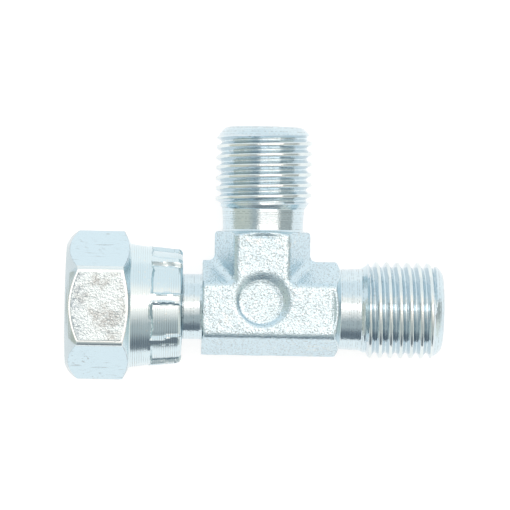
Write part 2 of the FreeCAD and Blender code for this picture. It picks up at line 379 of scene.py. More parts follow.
# %% [markdown]
# ## The floor
# The fitting rests on one flat of its nut. The floor is white to the camera and to the metal that
# reflects it. Part of that white comes from the lamps by ordinary diffuse shading, so the soft
# shadow under the fitting stays. The sheet of paper ends near the fitting at the bottom and at the
# left of the picture, and the metal shows the dim room just past its edge.

# %% Floor
FLOOR_GLOW = 0.78
DARK_FIBRE, PALE_FIBRE = (0.34, 0.34, 0.34), (0.36, 0.36, 0.36)
FLOOR_LEFT, FLOOR_NEAR, FLOOR_FAR = -0.15, -0.2, 3.0
ground = nut_low.z
floor_corners = [(FLOOR_LEFT, FLOOR_NEAR, ground), (FLOOR_FAR, FLOOR_NEAR, ground),
                 (FLOOR_FAR, FLOOR_FAR, ground), (FLOOR_LEFT, FLOOR_FAR, ground)]
floor_mesh = bpy.data.meshes.new("floor")
floor_mesh.from_pydata(floor_corners, [], [(0, 1, 2, 3)])
floor = add_object("floor", floor_mesh)
paper, sheet = empty_material("white_paper")
ray = sheet.node("LightPath")
lit = (ray + ray.other("Is Glossy Ray") + ray.other("Is Transmission Ray")).capped()
fibre = sheet.node("TexNoise", {}, {"Scale": 400.0}).step(0.2, 0.8)
dull = sheet.node("BsdfDiffuse", {}, {"Color": fibre.tint(DARK_FIBRE, PALE_FIBRE)})
glow = sheet.node("Emission", {}, {"Color": (*WHITE, 1), "Strength": FLOOR_GLOW})
both = sheet.node("AddShader", {}, {0: dull, 1: glow})
sheet.node("OutputMaterial", {}, {0: sheet.node("MixShader", {}, {0: lit, 1: dull, 2: both})})
floor_mesh.materials.append(paper)
print("floor at", round(ground / MM, 2), "mm")

# %% [markdown]
# ## The lamps
# Two soft boxes hang over the table, higher than the camera. The left one is narrow, and the right
# one is wide and slightly warm. They light the paper and the rubber. A glossy surface doesn't see
# them, because their faces are already painted in the room, and would be added twice.

# %% Lamps
LAMP_HEIGHT = 0.8
LAMP_LOW_Y, LAMP_HIGH_Y = -0.06, 0.27
LAMPS = {
    "narrow_soft_box": (-0.155, 0.105, 1.45, (1.0, 0.90, 0.845)),
    "wide_soft_box": (0.175, 0.68, 1.47, (1.0, 0.87, 0.77)),
}
for name, (left, right, radiance, tone) in LAMPS.items():
    lamp = bpy.data.lights.new(name, "AREA")
    lamp.shape = "RECTANGLE"
    lamp.size, lamp.size_y = right - left, LAMP_HIGH_Y - LAMP_LOW_Y
    lamp.energy = radiance * math.pi * lamp.size * lamp.size_y
    lamp.color = tone
    holder = add_object(name, lamp)
    holder.location = ((left + right) / 2, (LAMP_LOW_Y + LAMP_HIGH_Y) / 2, LAMP_HEIGHT)
    holder.visible_camera = holder.visible_glossy = False
    print(name, round(lamp.energy, 2), "W")

# %% [markdown]
# ## The camera
# The photograph looks straight down on the fitting from about half a metre, so that the nut and
# the male ends show a little of their sides. The camera is built from its own axes: the picture
# is turned by about one degree, and it looks at a point above the middle of the run.

# %% Camera
CAMERA_AT = Vector((-0.0157, 0.0105, 0.5))
LOOKS_AT = Vector((-0.00108, 0.00767, 0.0))
PICTURE_TURN = math.radians(1.1)
FIELD_WIDTH = 0.07424
SENSOR_WIDTH = 36.0
camera_data = bpy.data.cameras.new("camera")
camera_data.sensor_width = SENSOR_WIDTH
camera_data.lens = SENSOR_WIDTH * (CAMERA_AT - LOOKS_AT).length / FIELD_WIDTH
camera = add_object("camera", camera_data)
back = (CAMERA_AT - LOOKS_AT).normalized()
upright = Vector((-math.sin(PICTURE_TURN), math.cos(PICTURE_TURN), 0.0))
right_hand = upright.cross(back).normalized()
axes = Matrix((right_hand, back.cross(right_hand), back)).transposed()
camera.matrix_world = Matrix.Translation(CAMERA_AT) @ axes.to_4x4()
bpy.context.scene.camera = camera
bpy.context.scene.view_settings.view_transform = "Standard"
print("lens", round(camera_data.lens, 1), "mm")

# %% [markdown]
# ## Zinc plating
# All the steel carries the same bright, faintly blue zinc. What differs is the surface under it:
# forged skin is orange-peel rough, turned faces carry fine rings from the tool, and the nut's
# flats keep the grain and the stains of the drawn bar. One function makes the shared metal, and
# each finish gives it its own height for the bump, its stains and its roughness.

# %% The shared metal
ZINC = (0.58, 0.725, 0.80)
ZINC_STAIN = (0.38, 0.44, 0.46)
ZINC_CREAM = (0.80, 0.80, 0.74)


def start_material(name):
    """New material with its wires: the tree, and the object's own coordinates in millimetres."""
    material, shader = empty_material(name)
    place = shader.node("TexCoord", output=3)
    place = shader.node("VectorMath", {"operation": "SCALE"}, {0: place, "Scale": 1 / MM})
    return material, shader, place


def grain(place, size, detail=2.0, roughness=0.5):
    """Noise between 0 and 1, with lumps of about this size in millimetres."""
    return place.node("TexNoise", {}, {"Vector": place, "Scale": 0.5 / size, "Detail": detail,
                                       "Roughness": roughness})


def finish_metal(shader, colour, roughness, height, height_mm):
    """Metal of that colour and roughness, with height from 0 to 1 as relief of height_mm."""
    relief = shader.node("Bump", {}, {"Strength": 1.0, "Distance": height_mm * MM,
                                      "Height": height})
    metal = shader.node("BsdfPrincipled", {}, {
        "Base Color": colour, "Metallic": 1.0, "Roughness": roughness, "Normal": relief})
    shader.node("OutputMaterial", {}, {0: metal})


print("zinc is", ZINC)

# %% [markdown]
# ## Forged skin
# Forging scale is blasted off before plating, which leaves an orange-peel skin. Its lumps are
# about a quarter of a millimetre across and a few hundredths high. The larger waves are in the
# mesh. The fine ones are a bump, together with darker pits and a few cream spots.

# %% Forged zinc
def forged_zinc():
    material, shader, place = start_material("forged_zinc")
    peel = grain(place, 0.12, 2.0, 0.55)
    pits = grain(place, 0.13, 1.0).step(0.57, 0.69)
    patches = grain(place, 3.0, 2.0).step(0.45, 0.7)
    colour = (pits * 0.55).tint(ZINC, ZINC_STAIN)
    colour = (patches * grain(place, 0.5).step(0.5, 0.75) * 0.4).tint(colour, ZINC_CREAM)
    finish_metal(shader, colour, 0.2 + 0.04 * patches, peel - pits * 0.3, height_mm=0.068)
    return material


FORGED = forged_zinc()
print("made", FORGED.name)

# %% [markdown]
# ## Turned zinc
# A lathe tool leaves a fine spiral, so the height changes only along the axis: the X position on
# the run and the Y position on the branch. Noise stretched round the axis gives rings of uneven
# depth, which smear the highlights along the axis as on the real necks. Where that noise is high,
# short stretches of the rings are scored in a darker tone. The thread has no such scores.
#
# The thread needs two finishes of its own. In its groove the light bounces two or three times
# before it comes back, so a small roughness is enough to blur it, and the flanks are smoother
# than the necks. The crests are paler and less blue than the necks, which is a painted highlight
# along them.

# %% Turned zinc
DARK_RING_TONE = (0.30, 0.35, 0.37)


def axis_position(place):
    """Millimetres along the axis of whichever end this point is on, the branch or the run."""
    x = place.node("SeparateXYZ", {}, {0: place})
    y = x.other(1)
    on_branch = y.above(ENDS_BEYOND)
    return x * (1 - on_branch) + y * on_branch


def uneven_rings(along, scale):
    """Noise that changes only along an axis, as the lines of a lathe tool do."""
    return along.node("TexNoise", {"noise_dimensions": "1D"},
                      {"W": along, "Scale": scale, "Detail": 3.0})


def turned_zinc(name, bright, dull, roughness, relief_mm, scored):
    material, shader, place = start_material(name)
    rings = uneven_rings(axis_position(place), 5.0)
    specks = grain(place, 0.16, 2.0)
    clouds = grain(place, 1.6).step(0.35, 0.7)
    colour = (specks.step(0.6, 0.8) * 0.5).tint(clouds.tint(bright, dull), ZINC_CREAM)
    # Short stretches of the rings, where their noise is high, are drawn in a darker tone.
    scores = rings.step(0.5, 0.62) * grain(place, 0.2).step(0.42, 0.56)
    colour = (scores * scored).tint(colour, DARK_RING_TONE)
    finish_metal(shader, colour, roughness + 0.06 * clouds, rings * 0.8 + specks * 0.6, relief_mm)
    return material


TURNED = turned_zinc("turned_zinc", bright=(0.64, 0.76, 0.815), dull=(0.61, 0.73, 0.79),
                     roughness=0.12, relief_mm=0.03, scored=0.42)
FLANK = turned_zinc("thread_flank_zinc", bright=(0.645, 0.735, 0.785), dull=(0.625, 0.72, 0.775),
                    roughness=0.05, relief_mm=0.012, scored=0.0)
# The crests' paler colour is a painted highlight.
CREST_HIGHLIGHT = turned_zinc("thread_crest_highlight_zinc", bright=(0.75, 0.82, 0.83), dull=(0.69, 0.77, 0.79),
                    roughness=0.12, relief_mm=0.03, scored=0.0)
THREADED = [TURNED, FLANK, CREST_HIGHLIGHT]
print("made", ", ".join(finish.name for finish in THREADED))

# %% [markdown]
# ## The forged tee
# The tee is one forging: three six-sided arms that meet in soft inner corners, with a flat on the
# front and on the back. Boxes and bevels would give corners that are too crisp. A distance field
# describes such a shape well: each flat face is a plane, a rounded edge is a smooth maximum of two
# planes, and an inner corner is a smooth minimum. Each field below is one simple form, and the
# last one joins them. The surface where it is zero is then covered with small quads, one corner
# in every cell that the surface passes through.

# %% Smooth joins of fields
FLAT_TOP, FLAT_BOTTOM, FLAT_LEFT, FLAT_RIGHT = 3.75, 4.15, 4.15, 3.75


def smooth_max(a, b, width):
    """The larger of two fields, rounded over this width."""
    near = np.maximum(width - np.abs(a - b), 0) / width
    return np.maximum(a, b) + near * near * width / 4


def smooth_min(a, b, width):
    return -smooth_max(-a, -b, width)


def bevel_field(offset, depth, flat_half):
    """Distance to the slanting side of an arm, offset and depth measured from its axis."""
    run_in = ARM_HALF_WIDTH - flat_half
    length = math.hypot(run_in, ARM_HALF_DEPTH)
    return ((offset - ARM_HALF_WIDTH) * ARM_HALF_DEPTH + depth * run_in) / length


lean = math.atan2(ARM_HALF_DEPTH, ARM_HALF_WIDTH - FLAT_TOP)
print("the slanting sides lean by", round(math.degrees(lean), 1), "degrees")

# %% Arms as forged
FLAT_EDGE, INNER_CORNER, PARTING_SOFT = 0.7, 1.0, 0.06
TOP_SHIFT = 0.12


def block_field(x, y, z):
    """The three arms as forged, not yet turned. The run's upper side sits a little low."""
    depth = np.sqrt(z * z + PARTING_SOFT ** 2)
    run = np.where(y > 0, bevel_field(y + TOP_SHIFT, depth, FLAT_TOP),
                   bevel_field(-y, depth, FLAT_BOTTOM))
    branch = np.where(x > 0, bevel_field(x, depth, FLAT_RIGHT),
                      bevel_field(-x, depth, FLAT_LEFT))
    branch = np.maximum(branch, -y)
    sides = smooth_min(run, branch, INNER_CORNER)
    return smooth_max(sides, np.abs(z) - ARM_HALF_DEPTH, FLAT_EDGE)


print("edges are rounded over", FLAT_EDGE, "mm and inner corners over", INNER_CORNER, "mm")

# %% Ends as turned
CONE_SLOPE, CHAMFER_SLOPE = math.tan(math.radians(62)), math.tan(math.radians(66))
CHAMFER_R, LEFT_CHAMFER_R = 6.5, 6.97
CONE_STRETCH = 2


def turned_field(x, y, z):
    """What the lathe leaves: three faced ends, each with a cone, brought near true distances."""
    run_cone = np.hypot(y, z) - NECK_R - (RUN_ARM_END - x) * CONE_SLOPE
    branch_cone = np.hypot(x, z) - CHAMFER_R - (BRANCH_ARM_END - y) * CHAMFER_SLOPE
    left_cone = np.hypot(y, z) - LEFT_CHAMFER_R - (x - BODY_LEFT) * CHAMFER_SLOPE
    cones = [cone / CONE_STRETCH for cone in (run_cone, branch_cone, left_cone)]
    faces = [BODY_LEFT - x, x - RUN_ARM_END, y - BRANCH_ARM_END]
    return np.maximum.reduce([*cones, *faces])


print("arms end at", RUN_ARM_END, "mm on the run and", BRANCH_ARM_END, "mm on the branch")

# %% The round recess
RIM_CENTRE, RIM_R, RIM_ROUND = (0.0, 1.25), 3.78, 0.42
FLOOR_CENTRE, FLOOR_R, FLOOR_ROUND = (-0.25, 0.98), 3.15, 0.2
RECESS_DEPTH, WALL_STRETCH = 0.6, 0.75
RING_INSET, RING_HEIGHT, RING_WIDTH = 0.16, 0.07, 0.13


def recess_field(x, y, z):
    """The round recess in the front flat, whose floor sits a little off its rim."""
    sunk = (ARM_HALF_DEPTH - z) / RECESS_DEPTH
    centre_x = RIM_CENTRE[0] + (FLOOR_CENTRE[0] - RIM_CENTRE[0]) * sunk
    centre_y = RIM_CENTRE[1] + (FLOOR_CENTRE[1] - RIM_CENTRE[1]) * sunk
    wall = np.hypot(x - centre_x, y - centre_y) - RIM_R - (FLOOR_R - RIM_R) * sunk
    ring = np.hypot(x - FLOOR_CENTRE[0], y - FLOOR_CENTRE[1]) - FLOOR_R + RING_INSET
    raised = RING_HEIGHT * np.exp(-(ring / RING_WIDTH) ** 2)
    above_floor = ARM_HALF_DEPTH - RECESS_DEPTH + raised - z
    return smooth_max(wall * WALL_STRETCH, above_floor, FLOOR_ROUND)


print("the recess is", RECESS_DEPTH, "mm deep and", 2 * FLOOR_R, "mm wide at its floor")

# %% The forging's field
DENT_DEPTH, DENT_BACK, DENT_WIDTH = 0.2, 0.68, 0.2
BRANCH_DENT_REACH, RUN_DENT_REACH = 2.2, 2.4
TURNED_EDGE = 0.08


def forging_field(x, y, z):
    """The whole forging, with a shallow dent across the front flat near two of its ends."""
    ends = turned_field(x, y, z)
    on_branch = np.exp(-(x / BRANCH_DENT_REACH) ** 4) * (y > ENDS_BEYOND)
    on_run = np.exp(-(y / RUN_DENT_REACH) ** 4) * (x > ENDS_BEYOND)
    dent = DENT_DEPTH * np.exp(-((ends + DENT_BACK) / DENT_WIDTH) ** 2) * (on_branch + on_run)
    field = smooth_max(block_field(x, y, z) + dent * (z > 0), ends, TURNED_EDGE)
    return smooth_max(field, -recess_field(x, y, z), RIM_ROUND)


print("field on the front flat", forging_field(-6.0, 0.0, ARM_HALF_DEPTH))

# %% Cover the field with quads
def skin(field_of, low, high, cell):
    """Corners in mm and quads of the surface where the field is zero.

    A grid line that crosses it gives one quad, between the four cells round that line.
    """
    counts = [int(math.ceil((b - a) / cell)) + 1 for a, b in zip(low, high)]
    lines = [a + cell * np.arange(n) for a, n in zip(low, counts)]
    field = field_of(*np.meshgrid(*lines, indexing="ij"))
    cells = np.array(counts) - 1
    total = np.zeros((cells.prod(), 3))
    crossings = np.zeros(cells.prod())
    quads = []
    for axis in range(3):
        side, other = [k for k in range(3) if k != axis]
        ahead = np.moveaxis(field, axis, 0)
        spot = np.argwhere((ahead[:-1] < 0) != (ahead[1:] < 0))
        first, second = ahead[tuple(spot.T)], ahead[spot[:, 0] + 1, spot[:, 1], spot[:, 2]]
        point = np.zeros((len(spot), 3))
        point[:, axis] = spot[:, 0] + first / (first - second)
        point[:, side], point[:, other] = spot[:, 1], spot[:, 2]
        ring = []
        for near_side, near_other in ((1, 1), (0, 1), (0, 0), (1, 0)):
            cell_at = np.zeros((len(spot), 3), int)
            cell_at[:, axis] = spot[:, 0]
            cell_at[:, side] = spot[:, 1] - near_side
            cell_at[:, other] = spot[:, 2] - near_other
            ring.append(np.ravel_multi_index(cell_at.T, cells))
            np.add.at(total, ring[-1], point)
            np.add.at(crossings, ring[-1], 1)
        quads.append(np.stack(ring, axis=-1))
    used = crossings > 0
    numbering = np.cumsum(used) - 1
    corners = np.array(low) + cell * total[used] / crossings[used, None]
    return corners, numbering[np.concatenate(quads)]


SKIN_LOW, SKIN_HIGH, SKIN_CELL = (-9.3, -7.4, -7.0), (11.9, 11.9, 7.0), 0.17
corners, quads = skin(forging_field, SKIN_LOW, SKIN_HIGH, SKIN_CELL)
print("forging skin has", len(corners), "corners and", len(quads), "quads")

# %% [markdown]
# The forged skin gets its larger waves in the mesh, by moving corners a few hundredths of a
# millimetre along the slope of the field. Faces that the lathe made stay smooth and take the
# turned finish instead: the faces and bevels at the arms' ends. Which face is which is read from
# the fields, because on a turned face the turned field is the one that is zero. Along the parting
# line the trimmed flash leaves a faint ridge.

# %% The forging as a mesh
SLOPE_REACH = 0.05
WAVES = [(0.022, 0.9), (0.03, 3.2), (0.016, 0.45)]
FLASH_HEIGHT, FLASH_WIDTH = 0.05, 0.22
TURNED_BELOW, TURNED_FADE = 0.16, 0.08


def slope_of(points):
    """Unit vectors that point out of the forging."""
    slope = np.empty_like(points)
    for axis in range(3):
        shift = np.zeros(3)
        shift[axis] = SLOPE_REACH
        slope[:, axis] = forging_field(*(points + shift).T) - forging_field(*(points - shift).T)
    return slope / np.linalg.norm(slope, axis=1, keepdims=True)


def skin_waves(points):
    """How far each corner of the forged skin stands out, in mm."""
    rise = np.array([sum(height * noise.noise(Vector(p) / size) for height, size in WAVES)
                     for p in points])
    flash = FLASH_HEIGHT * np.exp(-(points[:, 2] / FLASH_WIDTH) ** 2)
    return rise + flash


turned_share = np.clip((turned_field(*corners.T) + TURNED_BELOW) / TURNED_FADE, 0, 1)
corners += slope_of(corners) * (skin_waves(corners) * (1 - turned_share))[:, None]
middles = corners[quads].mean(axis=1)
finish_of_face = (turned_field(*middles.T) > block_field(*middles.T)).astype(int)
forging = mesh_object("forging", corners, quads.tolist(), [FORGED, TURNED], finish_of_face)
print("forging", len(forging.data.vertices), "corners, turned faces", int(finish_of_face.sum()))

# %% [markdown]
# ## Nose, passages and the union
# The stem and nose are turned on the left arm, and drilled passages run through the whole piece.
# On the real part all of this is one solid, so the plugs are united with the forging and the
# passages are cut out of it by boolean modifiers, and the result is kept as one mesh.

# %% Stem, nose and passages
NOSE_PROFILE = [
    (-8.0, 0), (-8.0, 4.2), (-8.5, 4.95), (-8.75, 4.86), (-8.88, 4.78), (-9.05, STEM_R),
    (-10.5, STEM_R), (-12.0, STEM_R), (-15.4, STEM_R), (-15.6, 4.82), (-17.5, 6.72), (-17.65, 6.8),
    (-18.55, 6.8), (-18.65, 6.77), (-19.1, 6.3), (-19.12, 5.2), (-19.16, 5.05), (-20.72, 4.72),
    (-20.75, 4.6), (-20.75, 3.15), (-22.65, 3.15), (-22.65, 4.2), (-22.68, 4.31), (-23.55, 4.12),
    (-23.9, 3.75), (-23.9, 0)]
RUN_PASSAGE = [
    (-25.0, 0), (-25.0, 2.25), (-3.95, 2.25), (-3.5, 3.0), (18.85, 3.0), (19.45, 4.0),
    (21.75, 4.0), (26.15, 4.94), (26.35, 5.14), (27.5, 6.2), (27.5, 0)]
BRANCH_PASSAGE = [(0.0, 0), (0.0, 3.0), *RUN_PASSAGE[4:]]
RUN_CREST_AT, BRANCH_CREST_AT = 16.6, 15.77
DRILL_TURN = even_turn(72)


def finely(points, longest=1.2):
    """The same profile with long stretches divided, so that facets stay short."""
    fine = [points[0]]
    for (x0, r0), (x1, r1) in zip(points, points[1:]):
        parts = max(1, math.ceil(math.hypot(x1 - x0, r1 - r0) / longest))
        fine += [(x0 + (x1 - x0) * k / parts, r0 + (r1 - r0) * k / parts)
                 for k in range(1, parts + 1)]
    return fine


def onto_branch(piece):
    """Turn a piece made along +X onto the branch axis."""
    piece.data.transform(Matrix.Rotation(math.radians(90), 4, "Z"))
    return piece


nose = around_x("nose", finely(NOSE_PROFILE), even_turn(96), [TURNED])
run_end = male_end("run_end", RUN_CREST_AT, THREADED)
branch_end = onto_branch(male_end("branch_end", BRANCH_CREST_AT, THREADED))
run_drill = around_x("run_drill", finely(RUN_PASSAGE), DRILL_TURN, [TURNED])
branch_drill = onto_branch(around_x("branch_drill", finely(BRANCH_PASSAGE), DRILL_TURN, [TURNED]))
print("male end has", len(run_end.data.vertices), "corners")

# %% One solid tee
def combine(piece, tools):
    """Unite a piece with tools or cut it by them, in order, and keep the result as its mesh."""
    for tool, operation in tools:
        cut = piece.modifiers.new(tool.name, "BOOLEAN")
        cut.operation, cut.object, cut.solver = operation, tool, "MANIFOLD"
        cut.material_mode = "TRANSFER"
    made = piece.evaluated_get(bpy.context.evaluated_depsgraph_get())
    mesh = bpy.data.meshes.new_from_object(made)
    piece.modifiers.clear()
    piece.data = mesh
    for tool, _ in tools:
        bpy.data.objects.remove(tool)


def open_edges(mesh):
    """How many edges don't have exactly two faces, which is 0 for a closed solid."""
    work = bmesh.new()
    work.from_mesh(mesh)
    count = sum(len(edge.link_faces) != 2 for edge in work.edges)
    work.free()
    return count


def smooth(piece, degrees):
    """Smooth shading, with edges sharper than this many degrees left crisp."""
    piece.data.polygons.foreach_set("use_smooth", [True] * len(piece.data.polygons))
    piece.data.set_sharp_from_angle(angle=math.radians(degrees))


combine(forging, [(nose, "UNION"), (run_end, "UNION"), (branch_end, "UNION"),
                  (run_drill, "DIFFERENCE"), (branch_drill, "DIFFERENCE")])
forging.name = "forged_tee"
smooth(forging, 38)
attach(forging, "body")
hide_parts("tee_body")
print("forged tee", len(forging.data.polygons), "faces, open edges", open_edges(forging.data))

# %% [markdown]
# ## The swivel nut
# The nut is turned from 19 mm hexagon bar, which measures a little less across its flats. Its
# corners are cut back by a cone at each end, and a tapered skirt follows. It could be a hexagonal
# cylinder cut by cones, but here it is one closed strip of rows, from the mouth over the outside,
# round the lip and back through the bore. Each column works out where the cones meet its own flat,
# so that the curved edges of the hexagon are exact.

# %% Sizes of the hexagon
HALF_FLATS = 9.44
CORNER_R = 10.78
MOUTH_R, FACE_R = 7.09, 8.9
SKIRT_TOP_R = 9.35
FRONT_SLOPE, BACK_SLOPE = 0.94, math.tan(math.radians(30))
FACE_ROUND, EDGE_ROUND = 0.15, 0.06
BULGE_SHARE, BULGE_BEYOND = 0.5, 0.8
HEX_SIDE = 60
corner_columns = np.array([29.0, 29.35, 29.7, 30.0, 30.3, 30.65, 31.0])
nut_turn = np.unique(np.round(np.concatenate(
    [even_turn(360)] + [corner_columns + HEX_SIDE * k for k in range(6)]), 3))
nut_columns = len(nut_turn)
print("the nut has", nut_columns, "columns, closer together at its corners")

# %% Nut outside
def hexagon_radius(turn):
    """Distance from the axis to the hexagon's outline, with its corners turned down a little."""
    from_flat = (turn - 90 + HEX_SIDE / 2) % HEX_SIDE - HEX_SIDE / 2
    return np.minimum(HALF_FLATS / np.cos(np.radians(from_flat)), CORNER_R)


def rows_between(start_x, start_r, end_x, end_r, steps, bulge=0.0):
    """Rows for every column from one edge to the next, without the last one, perhaps bulging."""
    share = np.linspace(0, 1, steps, endpoint=False) if isinstance(steps, int) else np.array(steps)
    share = share[None, :]
    one = np.ones((nut_columns, 1))
    out = bulge * share * (1 - share)
    return np.stack([start_x * one + (end_x - start_x) * share * one - out,
                     start_r * one + (end_r - start_r) * share * one + out], axis=-1)


hexagon = hexagon_radius(nut_turn)[:, None]
front_edge = NUT_MOUTH + (hexagon - FACE_R) * FRONT_SLOPE
back_edge = NUT_HEX_BACK - (hexagon - SKIRT_TOP_R) * BACK_SLOPE
bulge = BULGE_SHARE * np.clip(hexagon - FACE_R - BULGE_BEYOND, 0, None) ** 2
face_edge = (NUT_MOUTH, FACE_R - FACE_ROUND)
bevel_start = (NUT_MOUTH + 0.1, FACE_R + 0.08)
bevel_end = (front_edge - EDGE_ROUND, hexagon - EDGE_ROUND - 0.01)
flat_start, flat_end = (front_edge + EDGE_ROUND, hexagon), (back_edge - EDGE_ROUND, hexagon)
back_bevel_start = (back_edge + EDGE_ROUND, hexagon - EDGE_ROUND * 1.6)
outside = [
    rows_between(NUT_MOUTH, MOUTH_R, *face_edge, 4),
    rows_between(*face_edge, *bevel_start, 2),
    rows_between(*bevel_start, *bevel_end, [0, 0.25, 0.5, 0.75, 0.96], bulge),
    rows_between(*bevel_end, *flat_start, 2),
    rows_between(*flat_start, *flat_end, [0, 0.008, *np.linspace(0.1, 0.9, 9), 0.992]),
    rows_between(*flat_end, *back_bevel_start, 2),
    rows_between(*back_bevel_start, NUT_HEX_BACK, SKIRT_TOP_R, [0, 0.04, 0.3, 0.65]),
]
print("hexagon from", HALF_FLATS, "to", CORNER_R, "mm; front edges at",
      front_edge.min().round(2), "to", front_edge.max().round(2))

# %% [markdown]
# ## The skirt and its pressed fields
# The nut is slipped over the nose first, and a tool with eight jaws then presses its skirt in
# behind the nose's shoulder, which keeps the nut on. Each jaw leaves a sunken field with ragged
# borders, where a little metal is squeezed up. Boxes cut out of the skirt would have borders that
# are too clean. So each point of the skirt works out how far inside a field it lies, with noise
# added to that distance, and moves in or out by it.

# %% Skirt with its pressed fields
SKIRT_R = 9.0
CRIMP_START = -16.16
CRIMP_START_R = 8.6
LIP_R = 8.25
LIP_ROUND, SKIRT_FILLET = 0.7, 0.35
FIELD_COUNT, FIELD_WIDTH, FIELD_PHASE, FIELD_DEPTH = 8, 34.0, 14.0, 0.45
FIELD_R, FIELD_START, FIELD_END = 8.4, -15.91, -11.41
FIELD_WALL = 0.34
RAGGED = [(0.7, 3.0, 0.09), (2.0, 9.0, 0.22)]
BURR_OUT, BURR_WIDTH, BURR_HEIGHT, BURR_VARIES = 0.2, 0.14, 0.09, 0.08


def skirt_radius(x):
    """Radius along the skirt, from the fillet behind the hexagon to the rounded lip."""
    rise = np.clip(NUT_HEX_BACK + SKIRT_FILLET - x, 0, SKIRT_FILLET)
    fillet = SKIRT_FILLET - np.sqrt(np.clip(SKIRT_FILLET ** 2 - rise ** 2, 0, None))
    taper = np.interp(x, [NUT_HEX_BACK, CRIMP_START, NUT_END - LIP_ROUND, NUT_END],
                      [SKIRT_R, CRIMP_START_R, LIP_R, LIP_R - 0.05])
    lip = np.clip(x - (NUT_END - LIP_ROUND), 0, LIP_ROUND)
    return taper + fillet - (LIP_ROUND - np.sqrt(np.clip(LIP_ROUND ** 2 - lip ** 2, 0, None)))


def wander(turn, x, size, seed):
    """Noise from -1 to 1 over the skirt's surface, in lumps of this size in mm."""
    angle = np.radians(turn)
    spots = np.stack([x, CRIMP_START_R * np.cos(angle), CRIMP_START_R * np.sin(angle)], axis=-1)
    flat = spots.reshape(-1, 3) / size + seed
    return np.array([noise.noise(Vector(p)) for p in flat]).reshape(x.shape)


def field_shape(turn, x):
    """How far each point of the skirt is pressed in (negative) or squeezed out, in mm."""
    ragged = sum(wander(turn, x, size, seed) * height for size, seed, height in RAGGED)
    pitch = 360 / FIELD_COUNT
    centre = 90 + FIELD_PHASE
    off = np.abs((turn - centre + pitch / 2) % pitch - pitch / 2)
    to_side = (FIELD_WIDTH / 2 - off) * math.radians(FIELD_R) + ragged
    to_back = (x - FIELD_START) + ragged
    to_lip = (FIELD_END - x) + ragged * 0.6
    inside = np.minimum(np.minimum(to_side, to_back), to_lip)
    pressed = np.clip(inside / FIELD_WALL + 0.5, 0, 1)
    pressed = pressed * pressed * (3 - 2 * pressed)
    burr = BURR_HEIGHT + BURR_VARIES * np.clip(ragged * 4, -0.8, 1)
    squeezed_out = np.exp(-((inside + BURR_OUT) / BURR_WIDTH) ** 2) * burr
    return squeezed_out - FIELD_DEPTH * pressed


print(FIELD_COUNT, "fields, each", FIELD_WIDTH, "degrees wide and", FIELD_DEPTH, "mm deep")

# %% The skirt's rows
TOOL_FEED = 0.32
CUSP_STATIONS = np.array([0.0, 0.05, 0.16, 0.27])
CUSP_DEPTHS = np.array([0.0, 0.011, 0.014, 0.011])
line_starts = np.arange(NUT_HEX_BACK, NUT_END - 0.3, TOOL_FEED)
one_column = (line_starts[:, None] + CUSP_STATIONS).ravel()
skirt_x = np.broadcast_to(one_column, (nut_columns, len(one_column)))
turns = np.broadcast_to(nut_turn[:, None], skirt_x.shape)
lines_begin = np.clip((skirt_x - NUT_HEX_BACK - 0.3) * 3, 0, 1)
tool_lines = -np.tile(CUSP_DEPTHS, len(line_starts)) * lines_begin
skirt_r = skirt_radius(skirt_x) + field_shape(turns % 360, skirt_x) + tool_lines
outside.append(np.stack([skirt_x, skirt_r], axis=-1))
print("skirt has", skirt_x.shape[1], "rows")

# %% [markdown]
# ## The nut's bore
# Inside, the nut has the same helix as the male ends, cut into the bore: the thread is the larger
# of the groove and the bore's own outline. Behind it come a relief, the conical seat that pulls on
# the nose's shoulder, and the lip round the stem.

# %% Nut inside
NUT_CREST_R, NUT_THREAD_DEPTH, NUT_CREST_AT = 6.19, 0.81, -27.3
RELIEF_R, RELIEF_END, RELIEF_START = 7.2, -17.7, -20.9
BORE_LIP_R, SEAT_END, LIP_BEVEL = 5.5, -16.0, 0.12
nut_x, nut_depth = thread_rows(NUT_MOUTH, RELIEF_START, NUT_CREST_AT, nut_turn)
bore_outline = np.interp(nut_x, [NUT_MOUTH, NUT_MOUTH + 0.9, -24.1, -23.6, -21.4, RELIEF_START],
                         [MOUTH_R, NUT_CREST_R, NUT_CREST_R, 6.45, 6.5, RELIEF_R])
groove = NUT_CREST_R + NUT_THREAD_DEPTH * nut_depth / ROOT_DEPTH
nut_thread = np.maximum(groove, bore_outline)
lip_face = (NUT_END, BORE_LIP_R + LIP_BEVEL)
lip_bore = (NUT_END - LIP_BEVEL, BORE_LIP_R)
bore = [
    rows_between(NUT_END, skirt_r[:, -1:] - LIP_BEVEL, *lip_face, 5),
    rows_between(*lip_face, *lip_bore, 1),
    rows_between(*lip_bore, SEAT_END, BORE_LIP_R, 5),
    rows_between(SEAT_END, BORE_LIP_R, RELIEF_END, RELIEF_R, 4),
    rows_between(RELIEF_END, RELIEF_R, RELIEF_START, RELIEF_R, 3),
    np.stack([nut_x, nut_thread], axis=-1)[:, ::-1],
]
nut_profile = np.concatenate(outside + bore, axis=1)
print("nut strip has", nut_profile.shape[1], "rows")
